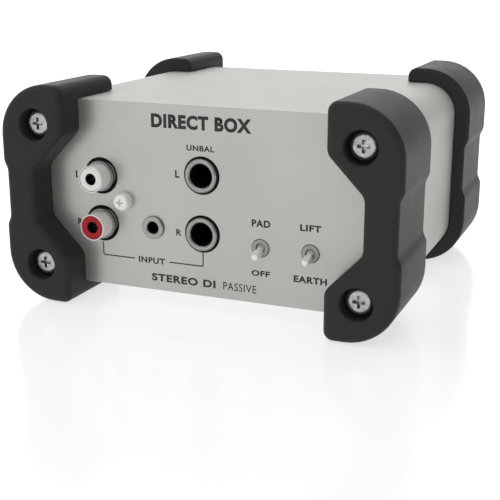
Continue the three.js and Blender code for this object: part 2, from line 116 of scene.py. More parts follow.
class BoxShape(PropertyGroup):
    """Sizes that shape the enclosure, in metres."""
    sleeve_corner: FloatProperty(
        name="Sleeve corner", description="Radius of the sleeve's four long corners",
        default=10.5 * MM, unit="LENGTH")
    guard_corner: FloatProperty(
        name="Guard corner", description="Radius of a guard's outer corners",
        default=16 * MM, unit="LENGTH")
    guard_rim: FloatProperty(
        name="Guard rim", description="Rounding of a guard's outer rim",
        default=2.2 * MM, unit="LENGTH")
    hole_flare: FloatProperty(
        name="Hole flare", description="Rounding at the mouth of a guard's screw holes",
        default=0.7 * MM, unit="LENGTH")
    plate_ease: FloatProperty(
        name="Plate edge", description="Broken edge round the end plates and their holes",
        default=0.25 * MM, unit="LENGTH")
    legend_depth: FloatProperty(
        name="Ink depth", description="How far the printed legends stand off the plate",
        default=0.02 * MM, unit="LENGTH")
    turned_steps: IntProperty(
        name="Turned steps", description="Steps round each turned piece", default=64, min=24)


class BoxFinish(PropertyGroup):
    """Colours of the finishes."""
    sleeve_colour: FloatVectorProperty(
        name="Sleeve", description="Anodised sleeve", subtype="COLOR", default=linear("#C8C6C2"))
    plate_colour: FloatVectorProperty(
        name="Plates", description="Anodised end plates", subtype="COLOR", default=linear("#B7B5B1"))
    rubber_colour: FloatVectorProperty(
        name="Guards", description="Moulded rubber", subtype="COLOR", default=linear("#323232"))
    ink_colour: FloatVectorProperty(
        name="Legends", description="Printed legends", subtype="COLOR", default=linear("#262626"))
    white_colour: FloatVectorProperty(
        name="Upper phono", description="Insulator of the upper phono socket", subtype="COLOR",
        default=linear("#ECEBE7"))
    red_colour: FloatVectorProperty(
        name="Lower phono", description="Insulator of the lower phono socket", subtype="COLOR",
        default=linear("#A60F19"))


# ---------------------------------------------------------------- outlines

def arc_points(centre, radius, start, end, steps=6):
    """Points on an arc from one angle to another, in degrees."""
    angles = [math.radians(start + (end - start) * k / steps) for k in range(steps + 1)]
    return [(centre[0] + radius * math.cos(a), centre[1] + radius * math.sin(a)) for a in angles]


def filleted(corners, closed=True, degrees_per_step=7.5):
    """An outline through (a, b, radius) corners, each rounded by an arc of its own radius."""
    points = []
    count = len(corners)
    for index, (a, b, radius) in enumerate(corners):
        corner = Vector((a, b))
        if not radius or (not closed and index in (0, count - 1)):
            points.append((a, b))
            continue
        before = (Vector(corners[index - 1][:2]) - corner).normalized()
        after = (Vector(corners[(index + 1) % count][:2]) - corner).normalized()
        half = before.angle(after) / 2
        centre = corner + (before + after).normalized() * radius / math.sin(half)
        spoke = corner + before * radius / math.tan(half) - centre
        sweep = math.pi - 2 * half
        if before.x * after.y - before.y * after.x > 0:
            sweep = -sweep
        steps = max(2, math.ceil(abs(math.degrees(sweep)) / degrees_per_step))
        for k in range(steps + 1):
            points.append(tuple(centre + Matrix.Rotation(sweep * k / steps, 2) @ spoke))
    return points


def rounded_rectangle(width, height, radius):
    x = width / 2
    z = height / 2
    return filleted([(x, -z, radius), (x, z, radius), (-x, z, radius), (-x, -z, radius)])


# ---------------------------------------------------------------- modelling

def start_piece():
    if bpy.context.object and bpy.context.object.mode != "OBJECT":
        bpy.ops.object.mode_set(mode="OBJECT")
    bpy.ops.object.select_all(action="DESELECT")


def select_only(piece):
    start_piece()
    piece.select_set(True)
    bpy.context.view_layer.objects.active = piece


def edit_whole(piece):
    """Selects everything in a piece, in edit mode."""
    select_only(piece)
    bpy.ops.object.mode_set(mode="EDIT")
    bpy.ops.mesh.select_all(action="SELECT")


def discard(piece):
    bpy.data.objects.remove(piece, do_unlink=True)


def tidy_mesh():
    """In edit mode: merges doubles, turns the faces outwards and leaves edit mode."""
    bpy.ops.mesh.select_all(action="SELECT")
    bpy.ops.mesh.remove_doubles(threshold=DOUBLES * MM)
    bpy.ops.mesh.normals_make_consistent(inside=False)
    bpy.ops.object.mode_set(mode="OBJECT")


def drawn_chain(name, points):
    """One point extruded along a list of (x, y, z) points in millimetres, left in edit mode."""
    start_piece()
    bpy.ops.mesh.primitive_plane_add(size=MM, location=[c * MM for c in points[0]])
    chain = bpy.context.active_object
    chain.name = name
    bpy.ops.object.transform_apply(location=True, rotation=True, scale=True)
    bpy.ops.object.mode_set(mode="EDIT")
    bpy.context.tool_settings.mesh_select_mode = (True, False, False)
    bpy.ops.mesh.select_all(action="SELECT")
    bpy.ops.mesh.merge(type="CENTER")
    for here, there in zip(points, points[1:]):
        step = [(b - a) * MM for a, b in zip(here, there)]
        bpy.ops.mesh.extrude_region_move(TRANSFORM_OT_translate={"value": step})
    return chain


def turned(name, profile, centre=(0, 0, 0), steps=None):
    """A profile of (radius, y) points in millimetres spun round the Y axis through centre."""
    x, y, z = centre
    piece = drawn_chain(name, [(x + radius, y + along, z) for radius, along in profile])
    bpy.ops.mesh.select_all(action="SELECT")
    bpy.ops.mesh.spin(
        steps=steps or bpy.context.scene.di_box_shape.turned_steps, angle=FULL_TURN,
        center=[c * MM for c in centre], axis=(0, 1, 0))
    tidy_mesh()
    return piece


def extruded(name, outline, front, back, middle=(0, MIDDLE_HEIGHT)):
    """An outline of (x, z) points in millimetres made solid from y = front to y = back."""
    x, z = middle
    piece = drawn_chain(name, [(x + a, front, z + b) for a, b in outline])
    bpy.ops.mesh.select_all(action="SELECT")
    bpy.ops.mesh.edge_face_add()
    bpy.ops.mesh.select_all(action="SELECT")
    bpy.ops.mesh.extrude_region_move(TRANSFORM_OT_translate={"value": (0, (back - front) * MM, 0)})
    tidy_mesh()
    return piece


def block(name, size, centre, ease):
    """A box with broken edges, sizes in millimetres."""
    start_piece()
    bpy.ops.mesh.primitive_cube_add(size=MM, location=[c * MM for c in centre], scale=size)
    piece = bpy.context.active_object
    piece.name = name
    bpy.ops.object.transform_apply(location=True, rotation=True, scale=True)
    if ease:
        edit_whole(piece)
        bpy.ops.mesh.bevel(offset=ease * MM, segments=3, affect="EDGES")
        bpy.ops.object.mode_set(mode="OBJECT")
    return piece


def select_vertices(piece, chosen):
    """Selects the vertices whose place in millimetres passes a test, in edit mode."""
    select_only(piece)
    bpy.ops.object.mode_set(mode="EDIT")
    bpy.ops.mesh.select_all(action="DESELECT")
    bpy.ops.object.mode_set(mode="OBJECT")
    for vertex in piece.data.vertices:
        vertex.select = chosen(vertex.co / MM)
    bpy.ops.object.mode_set(mode="EDIT")


def round_rim(piece, y, width, segments):
    """Rounds the edges of the face that lies at y, width in millimetres."""
    select_vertices(piece, lambda place: abs(place.y - y) < SAME_PLACE)
    bpy.ops.mesh.bevel(offset=width * MM, segments=segments, profile=0.5, affect="EDGES")
    bpy.ops.object.mode_set(mode="OBJECT")


def combine(piece, tool, operation):
    """Cuts or joins piece with tool, which is used up."""
    select_only(piece)
    joint = piece.modifiers.new("joint", "BOOLEAN")
    joint.operation = operation
    joint.solver = "EXACT"
    joint.object = tool
    bpy.ops.object.modifier_apply(modifier=joint.name)
    discard(tool)


def joined(pieces, name):
    """Several pieces as one object."""
    select_only(pieces[0])
    for piece in pieces[1:]:
        piece.select_set(True)
    bpy.ops.object.join()
    pieces[0].name = name
    return pieces[0]


def copied(piece, name, shift=(0, 0, 0), turn=(0, 0, 0)):
    """A copy with its own mesh, turned about the origin and then moved, in millimetres."""
    select_only(piece)
    bpy.ops.object.duplicate(linked=False)
    copy = bpy.context.active_object
    copy.name = name
    copy.rotation_euler = turn
    copy.location = [c * MM for c in shift]
    bpy.ops.object.transform_apply(location=True, rotation=True, scale=True)
    return copy


def drop_slivers(piece):
    """Merges points that cuts left almost together and removes the faces without area."""
    edit_whole(piece)
    bpy.ops.mesh.remove_doubles(threshold=SLIVER * MM)
    bpy.ops.mesh.quads_convert_to_tris(quad_method="BEAUTY", ngon_method="BEAUTY")
    bpy.ops.mesh.dissolve_degenerate(threshold=SLIVER * MM)
    bpy.ops.object.mode_set(mode="OBJECT")


def tie(piece, nodes, finish, body=ENCLOSURE):
    """Gives a piece its finish and its body, and hides the CAD nodes that it stands for."""
    piece.data.materials.clear()
    piece.data.materials.append(finish_named(finish))
    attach(piece, body)
    if nodes:
        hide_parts(*nodes)


def dress(piece, nodes, finish, body=ENCLOSURE, smooth_below=35):
    """Cleans and shades a finished piece, gives it its finish and body, and hides the CAD nodes that it
    stands for.
    """
    drop_slivers(piece)
    bpy.ops.object.shade_smooth_by_angle(angle=math.radians(smooth_below))
    weighted = piece.modifiers.new("weighted", "WEIGHTED_NORMAL")
    weighted.keep_sharp = True
    bpy.ops.object.modifier_apply(modifier=weighted.name)
    tie(piece, nodes, finish, body)


# ---------------------------------------------------------------- materials

def add_node(tree, kind, inputs=None, settings=None):
    """Adds a node, sets its settings, and gives each input a value or a link."""
    made = tree.nodes.new(kind)
    for key, value in (settings or {}).items():
        setattr(made, key, value)
    for key, value in (inputs or {}).items():
        if isinstance(value, NodeSocket):
            tree.links.new(value, made.inputs[key])
        else:
            made.inputs[key].default_value = value
    return made


def per_metre(millimetres):
    """Texture scale for a feature of that size, as object coordinates are in metres."""
    return 1 / (millimetres * MM)


def surface(name, colour, shade, patch, grain, height, roughness, constants):
    """A material whose colour drifts to a shade of it over patches, with a fine grain.
    patch, grain and height are in millimetres; roughness is its low and high value; constants
    are values for the shader's own sockets."""
    material = bpy.data.materials.new(name)
    material.use_nodes = True
    tree = material.node_tree
    tree.nodes.clear()
    place = add_node(tree, "ShaderNodeTexCoord").outputs["Object"]
    patches = add_node(tree, "ShaderNodeTexNoise", {
        "Vector": place, "Scale": per_metre(patch), "Detail": 3.0, "Roughness": 0.55})
    grains = add_node(tree, "ShaderNodeTexNoise", {
        "Vector": place, "Scale": per_metre(grain), "Detail": 2.0, "Roughness": 0.6})
    tint = add_node(tree, "ShaderNodeMix", {
        "Factor": patches.outputs["Fac"], "A": (*colour, 1), "B": (*shade, 1)},
        {"data_type": "RGBA"})
    gloss = add_node(tree, "ShaderNodeMapRange", {
        "Value": patches.outputs["Fac"], "From Min": 0.3, "From Max": 0.7,
        "To Min": roughness[0], "To Max": roughness[1]})
    bump = add_node(tree, "ShaderNodeBump", {
        "Height": grains.outputs["Fac"], "Distance": height * MM, "Strength": 1.0})
    shader = add_node(tree, "ShaderNodeBsdfPrincipled", {
        "Base Color": tint.outputs["Result"], "Roughness": gloss.outputs["Result"],
        "Normal": bump.outputs["Normal"], **constants})
    add_node(tree, "ShaderNodeOutputMaterial", {"Surface": shader.outputs["BSDF"]})
    return material


def toned(colour, share):
    """A colour made darker, or lighter where the share is over 1."""
    return tuple(channel * share for channel in colour)


def anodised_aluminium(name, colour, metallic, roughness):
    """Bead-blasted and clear anodised: a satin grey with a fine even grain and soft reflections.
    Real blasting grain is about 0.1 mm, drawn at 0.3 mm so that it shows."""
    return surface(
        name, colour, toned(colour, 0.93), patch=30, grain=0.3, height=0.004,
        roughness=roughness, constants={"Metallic": metallic, "Specular IOR Level": 0.3})


def moulded_rubber(name, colour):
    """Injection-moulded thermoplastic rubber with a spark-eroded texture: a dull charcoal that
    pales a little at grazing angles and along its rounded rims."""
    return surface(
        name, colour, toned(colour, 0.86), patch=14, grain=0.45, height=0.008,
        roughness=(0.4, 0.46), constants={"IOR": 1.2})


def zinc_plate(name):
    """Bright zinc over pressed steel: silvery with cloudy passivated patches."""
    base = linear("#C9C9C6")
    return surface(
        name, base, toned(base, 0.4), patch=1.3, grain=1.1, height=0.11,
        roughness=(0.22, 0.34), constants={"Metallic": 0.9})


def bright_nickel(name):
    """Bright nickel over turned brass: a warm mirror with faint tool marks."""
    base = linear("#E6E4DF")
    return surface(
        name, base, toned(base, 0.92), patch=4, grain=0.2, height=0.0015,
        roughness=(0.18, 0.26), constants={"Metallic": 1.0})


def satin_nickel(name, base, metallic):
    """Satin nickel over turned brass: softer than bright nickel, in a grey copy, a nearly white copy
    that is painted light, and a darker copy that is painted shade.
    """
    return surface(
        name, base, toned(base, 0.88), patch=2.5, grain=0.2, height=0.002,
        roughness=(0.26, 0.36), constants={"Metallic": metallic})


def phosphated_steel(name):
    """Phosphated steel bush and ball of a toggle: a flat mid grey."""
    base = linear("#A2A29E")
    return surface(
        name, base, toned(base, 0.9), patch=1.5, grain=0.2, height=0.002,
        roughness=(0.55, 0.65), constants={"Metallic": 0.2})


def cast_shell(name):
    """Die-cast zinc under satin nickel: a soft grey metal with a slightly pebbled skin."""
    base = linear("#A9A9A6")
    return surface(
        name, base, toned(base, 0.9), patch=8, grain=0.4, height=0.008,
        roughness=(0.3, 0.4), constants={"Metallic": 1.0})


def moulded_plastic(name, colour, roughness):
    """Glass-filled or plain moulding compound with a fine mould texture."""
    return surface(
        name, colour, toned(colour, 0.85), patch=6, grain=0.35, height=0.006,
        roughness=roughness, constants={"IOR": 1.33})


def printed_ink(name, colour):
    """Pad-printed epoxy ink: nearly matte, a little uneven where it was laid down."""
    return surface(
        name, colour, toned(colour, 0.8), patch=1.5, grain=0.25, height=0.002,
        roughness=(0.5, 0.62), constants={"IOR": 1.5})


def solder_mask(name):
    """Glass-epoxy board under green solder mask, with the pale tracks showing through it."""
    base = linear("#1C5533")
    return surface(
        name, base, toned(base, 1.5), patch=5, grain=0.5, height=0.01,
        roughness=(0.3, 0.45), constants={"IOR": 1.55})


def laminations(name):
    """Stacked silicon-steel laminations, half a millimetre each, with a dull oxide."""
    base = linear("#6A6A6C")
    return surface(
        name, base, toned(base, 0.7), patch=3, grain=0.5, height=0.03,
        roughness=(0.4, 0.55), constants={"Metallic": 0.9})


def enamelled_wire(name):
    """Layers of enamelled copper wire."""
    base = linear("#A8602F")
    return surface(
        name, base, toned(base, 0.7), patch=1, grain=0.3, height=0.05,
        roughness=(0.25, 0.4), constants={"Metallic": 0.8})


MATERIALS = {
    "anodised_sleeve": lambda f: anodised_aluminium(
        "anodised_aluminium_sleeve", f.sleeve_colour, 0.4, (0.46, 0.52)),
    "anodised_plate": lambda f: anodised_aluminium(
        "anodised_aluminium_plate", f.plate_colour, 0.75, (0.3, 0.36)),
    "guard_rubber": lambda f: moulded_rubber("moulded_rubber_spark_texture", f.rubber_colour),
    "zinc": lambda f: zinc_plate("zinc_plated_steel"),
    "nickel": lambda f: bright_nickel("bright_nickel_turned"),
    "satin": lambda f: satin_nickel("satin_nickel_brushed_grey", linear("#A3A19D"), 0.8),
    # Nearly white and hardly metallic: painted light, so that the phono barrels, the block screw and the
    # toggle levers read bright.
    "satin_painted_light": lambda f: satin_nickel("satin_nickel_painted_light", linear("#F0EFEC"), 0.15),
    # Darker copy of the grey satin nickel: painted shade on the phono collars at the foot of the
    # barrels.
    "shaded": lambda f: satin_nickel("satin_nickel_painted_shade", linear("#8C8B88"), 0.8),
    "phosphate": lambda f: phosphated_steel("phosphated_steel_bush"),
    "cast_shell": lambda f: cast_shell("satin_nickel_die_cast"),
    "black": lambda f: moulded_plastic("black_nylon_moulded", linear("#0B0B0B"), (0.5, 0.6)),
    "white": lambda f: moulded_plastic("white_abs_moulded", f.white_colour, (0.28, 0.36)),
    "red": lambda f: moulded_plastic("red_abs_moulded", f.red_colour, (0.28, 0.36)),
    "ink": lambda f: printed_ink("pad_printed_ink", f.ink_colour),
    "board": lambda f: solder_mask("green_solder_mask"),
    "core": lambda f: laminations("silicon_steel_laminations"),
    "winding": lambda f: enamelled_wire("enamelled_copper_wire"),
}
made_materials = {}


def finish_named(key):
    if key not in made_materials:
        made_materials[key] = MATERIALS[key](bpy.context.scene.di_box_finish)
    return made_materials[key]


def paint_nodes(nodes, key):
    """Gives carried-over CAD nodes a material."""
    for name in nodes:
        slots = frame["nodes"][name].data.materials
        slots.clear()
        slots.append(finish_named(key))


# ---------------------------------------------------------------- pieces

def hole_tool(x, z, radius, front, back, flare=0.0):
    """A cutter for a round hole along Y whose mouth at y = front is rounded by flare."""
    start = front - OVERRUN
    mouth = [(radius, start)]
    if flare:
        mouth = [(radius + flare, start)]
        mouth += arc_points((radius + flare, front + flare), flare, 270, 180, steps=4)
    profile = [(0, start), *mouth, (radius, back), (0, back)]
    return turned("hole_tool", profile, (x, 0, z), steps=HOLE_STEPS)


class DIBOX_OT_sleeve(Operator):
    """Extruded aluminium sleeve with a screw port in each corner"""
    bl_idname = "dibox.sleeve"
    bl_label = "Sleeve"

    wall, port, port_steps = 2.0, 4.5, 32

    def execute(self, context):
        shape = context.scene.di_box_shape
        corner = shape.sleeve_corner / MM
        size = SLEEVE_HIGH - SLEEVE_LOW
        front, back = SLEEVE_LOW.y, SLEEVE_HIGH.y
        outline = rounded_rectangle(size.x, size.z, corner)
        sleeve = extruded("sleeve_extrusion", outline, front, back)
        for end in (front, back):
            round_rim(sleeve, end, shape.plate_ease / MM, segments=2)
        wall = self.wall
        inner = rounded_rectangle(size.x - 2 * wall, size.z - 2 * wall, corner - wall)
        before, after = front - OVERRUN, back + OVERRUN
        cavity = extruded("cavity", inner, before, after)
        near, far = before - OVERRUN, after + OVERRUN
        profile = [(0, near), (self.port, near), (self.port, far), (0, far)]
        for x, z in SCREW_SPOTS:
            port = turned("port", profile, (x, 0, z), steps=self.port_steps)
            combine(cavity, port, "DIFFERENCE")
        combine(sleeve, cavity, "DIFFERENCE")
        for x, z in SCREW_SPOTS:
            combine(sleeve, hole_tool(x, z, SCREW_CLEARANCE, front, after), "DIFFERENCE")
        dress(sleeve, ["sleeve"], "anodised_sleeve")
        return {"FINISHED"}


class DIBOX_OT_plates(Operator):
    """Front and rear end plates with their holes"""
    bl_idname = "dibox.plates"
    bl_label = "End plates"

    # The node each round hole is centred on, and the radius of the hole
    front_holes = (
        ("rca_barrel_upper", 5.75), ("rca_barrel_lower", 5.75), ("jack_nut_upper", 5.8),
        ("jack_nut_lower", 5.8), ("switch_frame_pad", 2.8), ("switch_frame_lift", 2.8),
        ("rca_block_screw", 1.5), ("minijack_nut", 3.15),
    )
    output_hole, fixing_hole = 11.9, 1.8
    # The ease at a hole's mouth as a share of the ease round the plate
    mouth_share = 0.6

    def plate(self, name, shape, holes):
        """A plate with the outline of the sleeve, at the front, its outer edges broken."""
        size = PANEL_HIGH - PANEL_LOW
        ease = shape.plate_ease / MM
        back = FACE + size.y
        outline = rounded_rectangle(size.x, size.z, shape.sleeve_corner / MM)
        made = extruded(name, outline, FACE, back)
        round_rim(made, FACE, ease, segments=3)
        screws = [(x, z, SCREW_CLEARANCE) for x, z in SCREW_SPOTS]
        for x, z, radius in (*screws, *holes):
            tool = hole_tool(x, z, radius, FACE, back + OVERRUN, ease * self.mouth_share)
            combine(made, tool, "DIFFERENCE")
        return made

    def execute(self, context):
        shape = context.scene.di_box_shape
        holes = []
        for node, radius in self.front_holes:
            spot = node_middle(node)
            holes.append((spot.x, spot.z, radius))
        front = self.plate("front_plate", shape, holes)
        dress(front, ["front_panel"], "anodised_plate")

        holes = []
        for hand in HANDS:
            spot = node_middle(f"xlr_shell_{hand}")
            holes.append((-spot.x, spot.z, self.output_hole))
            for level in LEVELS:
                spot = node_middle(f"xlr_screw_{hand}_{level}")
                holes.append((-spot.x, spot.z, self.fixing_hole))
        pattern = self.plate("rear_pattern", shape, holes)
        rear = copied(pattern, "rear_plate", turn=(0, 0, math.pi))
        discard(pattern)
        dress(rear, ["rear_panel"], "anodised_plate")
        return {"FINISHED"}


class DIBOX_OT_guards(Operator):
    """Four moulded rubber corner guards"""
    bl_idname = "dibox.guards"
    bl_label = "Corner guards"

    lobe_edge, lobe_corner, lobe_foot = 42.0, 3.0, 19.8
    waist_edge, waist_half, blend = 53.1, 8.2, 4.0
    relief_depth, relief_half, relief_ramp = 1.2, 7.6, 2.6
    counterbore, rear_rim = 4.9, 1.0

    def outline(self, guard_corner):
        side = GUARD_HIGH.x
        top = (GUARD_HIGH.z - GUARD_LOW.z) / 2
        lower = [
            (self.lobe_edge, -self.lobe_foot, self.blend), (self.lobe_edge, -top, self.lobe_corner),
            (side, -top, guard_corner), (side, -self.relief_half - self.relief_ramp, self.blend),
            (side - self.relief_depth, -self.relief_half, self.blend),
        ]
        upper = [(x, -z, radius) for x, z, radius in reversed(lower)]
        waist = [(self.waist_edge, half * self.waist_half, self.blend) for half in (1, -1)]
        return filleted([*lower, *upper, *waist])

    def screw_tool(self, z, flare):
        """Cutter for a counterbore with a rounded mouth and the clearance hole under it."""
        seat = node_edges("guard_screw_front_right_upper")[0].y + GUARD_SCREW_DOME
        front = GUARD_LOW.y
        start, end = front - OVERRUN, FACE + OVERRUN
        bore = self.counterbore
        profile = [(0, start), (bore + flare, start)]
        profile += arc_points((bore + flare, front + flare), flare, 270, 180, steps=5)
        hole = SCREW_CLEARANCE
        profile += [(bore, seat), (hole, seat), (hole, end), (0, end)]
        return turned("screw_tool", profile, (SCREW_X, 0, z))

    def execute(self, context):
        shape = context.scene.di_box_shape
        front, back = GUARD_LOW.y, GUARD_HIGH.y
        outline = self.outline(shape.guard_corner / MM)
        guard = extruded("guard_front_right_moulding", outline, front, back)
        round_rim(guard, front, shape.guard_rim / MM, segments=6)
        round_rim(guard, back, self.rear_rim, segments=4)
        size = SLEEVE_HIGH - SLEEVE_LOW
        corner = shape.sleeve_corner / MM + GAP
        outline = rounded_rectangle(size.x + 2 * GAP, size.z + 2 * GAP, corner)
        pocket = extruded("pocket", outline, FACE, back + OVERRUN)
        combine(guard, pocket, "DIFFERENCE")
        for z in (MIDDLE_HEIGHT + SCREW_Z, MIDDLE_HEIGHT - SCREW_Z):
            combine(guard, self.screw_tool(z, shape.hole_flare / MM), "DIFFERENCE")
        over = ((0, 0, 2 * MIDDLE_HEIGHT), (0, math.pi, 0))
        about = ((0, 0, 0), (0, 0, math.pi))
        both = ((0, 0, 2 * MIDDLE_HEIGHT), (math.pi, 0, 0))
        places = {"front_left": over, "rear_left": about, "rear_right": both}
        guards = {"front_right": guard}
        for corner, (shift, turn) in places.items():
            guards[corner] = copied(guard, f"guard_{corner}_moulding", shift, turn)
        for corner, piece in guards.items():
            dress(piece, [f"guard_{corner}"], "guard_rubber", smooth_below=30)
        return {"FINISHED"}


def cross_recess_tool(radius, y, depth):
    """A tapered cross, as a cross-head driver fits it, centred on the Y axis."""
    reach = radius * ARM_REACH
    breadth = radius * ARM_BREADTH
    bars = []
    for across, up in ((reach, breadth), (breadth, reach)):
        bar = block("bar", (across, 2 * depth, up), (0, y, 0), 0)
        select_vertices(bar, lambda place: place.y > y)
        bpy.ops.transform.resize(value=(ARM_TAPER, 1, ARM_TAPER))
        bpy.ops.object.mode_set(mode="OBJECT")
        bars.append(bar)
    combine(bars[0], bars[1], "UNION")
    return bars[0]


def cross_head_screw(name, head, dome, shank, length):
    """A pan-head screw with its seat at y = 0 and its head towards -Y, at the origin."""
    profile = filleted([
        (0, -dome, 0), (head * 0.86, -dome * 0.97, head * 0.36), (head, -dome * 0.5, head * 0.2),
        (head, 0, 0.15), (shank, 0, 0.1), (shank, length - shank * 0.6, 0.3), (0, length, 0),
    ], closed=False, degrees_per_step=12)
    screw = turned(name, profile)
    recess = cross_recess_tool(head * RECESS_SIZE, -dome, head * RECESS_DEPTH)
    combine(screw, recess, "DIFFERENCE")
    return screw


class DIBOX_OT_guard_screws(Operator):
    """Eight zinc-plated screws in the guards"""
    bl_idname = "dibox.guard_screws"
    bl_label = "Guard screws"

    shank = 1.7

    def execute(self, context):
        low, high = node_edges("guard_screw_front_right_upper")
        head = (high.x - low.x) / 2
        dome = GUARD_SCREW_DOME
        pattern = cross_head_screw("screw_pattern", head, dome, self.shank, high.y - low.y - dome)
        for end in ENDS:
            for hand in HANDS:
                for level in LEVELS:
                    node = f"guard_screw_{end}_{hand}_{level}"
                    low, high = node_edges(node)
                    seat = low.y + dome if end == "front" else high.y - dome
                    spot = node_middle(node)
                    turn = (0, 0, 0 if end == "front" else math.pi)
                    screw = copied(pattern, f"{node}_zinc", (spot.x, seat, spot.z), turn)
                    dress(screw, [node], "zinc")
        discard(pattern)
        return {"FINISHED"}


class DIBOX_OT_phono_sockets(Operator):
    """Two phono sockets and the screw that holds their block"""
    bl_idname = "dibox.phono_sockets"
    bl_label = "Phono sockets"

    # Profiles of (radius, y from the plate, fillet), front faces towards -y
    barrel = (
        (3.82, 7.4, 0), (3.82, -6.9, 0.1), (4.15, -6.9, 0.28), (4.15, 7.4, 0), (3.82, 7.4, 0),
    )
    collar = (
        (4.16, -0.2, 0), (4.16, -1.2, 0.05), (4.85, -1.2, 0.2), (4.85, -0.2, 0.1), (4.16, -0.2, 0),
    )
    insulator = (
        (2.6, 7.1, 0), (2.6, -6.1, 0.05), (1.85, -6.1, 0.05), (1.85, -6.6, 0.2), (3.68, -6.6, 0.15),
        (3.68, 7.1, 0), (2.6, 7.1, 0),
    )
    # A black lining inside the insulator's bore, put there as painted shade in the deep hole.
    shade_liner = (
        (2.55, 7.0, 0), (2.55, -6.05, 0.05), (1.86, -6.05, 0.05), (1.86, -3.7, 0.05), (1.0, -3.7, 0.05),
        (1.0, -3.5, 0.05), (1.86, -3.5, 0.05), (1.86, 7.0, 0), (2.55, 7.0, 0),
    )
    contact = (
        (0, 5.6, 0), (1.1, 5.6, 0.2), (1.1, -3.4, 0.1), (1.55, -3.4, 0.2), (1.55, 7.4, 0), (0, 7.4, 0),
    )
    block_screw = {"head": 2.85, "dome": 3.3, "shank": 1.2, "length": 8}

    def part(self, name, profile, centre):
        return turned(name, filleted(profile, closed=False, degrees_per_step=20), centre)

    def execute(self, context):
        for level, key in zip(LEVELS, ("white", "red")):
            spot = node_middle(f"rca_barrel_{level}")
            centre = (spot.x, FACE, spot.z)
            barrel = self.part(f"phono_barrel_{level}", self.barrel, centre)
            # The barrel's nearly white finish is painted light.
            dress(barrel, [f"rca_barrel_{level}"], "satin_painted_light")
            collar = self.part(f"phono_collar_{level}", self.collar, centre)
            # The collar's darker finish is painted shade.
            dress(collar, [], "shaded")
            insulator = self.part(f"phono_insulator_{level}", self.insulator, centre)
            dress(insulator, [f"rca_insulator_{level}"], key)
            # A black lining inside the socket's bore: painted shade that makes the deep hole read black.
            shade_liner = self.part(f"phono_liner_{level}", self.shade_liner, centre)
            dress(shade_liner, [], "black")
            contact = self.part(f"phono_contact_{level}", self.contact, centre)
            dress(contact, [f"rca_contact_{level}"], "nickel")
        spot = node_middle("rca_block_screw")
        pattern = cross_head_screw("screw_pattern", **self.block_screw)
        screw = copied(pattern, "phono_block_screw", (spot.x, FACE, spot.z))
        discard(pattern)
        # The screw head's nearly white finish is painted light.
        dress(screw, ["rca_block_screw"], "satin_painted_light")
        paint_nodes(["rca_block"], "black")
        return {"FINISHED"}


class DIBOX_OT_jacks(Operator):
    """Mini jack and two quarter-inch jacks with their nuts"""
    bl_idname = "dibox.jacks"
    bl_label = "Jacks"

    collar, bore, bore_end = 5.5, 3.6, 1.2
    # Outer and inner radius and bevel of each size of nut
    mini_nut = (3.6, 1.95, 0.3)
    jack_nut = (5.15, 3.7, 0.45)

    def ring(self, name, node, outer, inner, bevel):
        """A round nut with a wide bevel outside and inside of its narrow flat."""
        spot = node_middle(node)
        low, high = node_edges(node)
        profile = filleted([
            (inner, high.y, 0), (inner, low.y + bevel, 0.08), (inner + bevel, low.y, 0.15),
            (outer - bevel, low.y, 0.15), (outer, low.y + bevel, 0.08), (outer, high.y, 0),
            (inner, high.y, 0),
        ], closed=False, degrees_per_step=20)
        return turned(name, profile, (spot.x, 0, spot.z))

    def execute(self, context):
        nut = self.ring("mini_jack_nut", "minijack_nut", *self.mini_nut)
        dress(nut, ["minijack_nut"], "satin")
        paint_nodes(["minijack_body"], "black")
        for level in LEVELS:
            ring = self.ring(f"jack_ring_{level}", f"jack_nut_{level}", *self.jack_nut)
            dress(ring, [f"jack_nut_{level}"], "satin")
            self.body(level)
        return {"FINISHED"}

    def body(self, level):
        """Moulded jack body with a round collar in the plate and a blind bore."""
        spot = node_middle(f"jack_nut_{level}")
        centre = (spot.x, 0, spot.z)
        low, high = node_edges(f"jack_body_{level}")
        plate_back = PANEL_HIGH.y
        middle = ((low.x + high.x) / 2, (plate_back + high.y) / 2, (low.z + high.z) / 2)
        size = (high.x - low.x, high.y - plate_back, high.z - low.z)
        body = block(f"jack_moulding_{level}", size, middle, 0.4)
        collar = turned("collar", filleted([
            (0, low.y, 0), (self.collar, low.y, 0.15), (self.collar, plate_back + OVERRUN, 0),
            (0, plate_back + OVERRUN, 0),
        ], closed=False), centre)
        combine(body, collar, "UNION")
        start, end = low.y - OVERRUN, high.y - self.bore_end
        bore = turned("bore", filleted([
            (0, start, 0), (self.bore, start, 0), (self.bore, end, 0.3), (0, end, 0),
        ], closed=False, degrees_per_step=20), centre)
        combine(body, bore, "DIFFERENCE")
        dress(body, [f"jack_body_{level}"], "black")


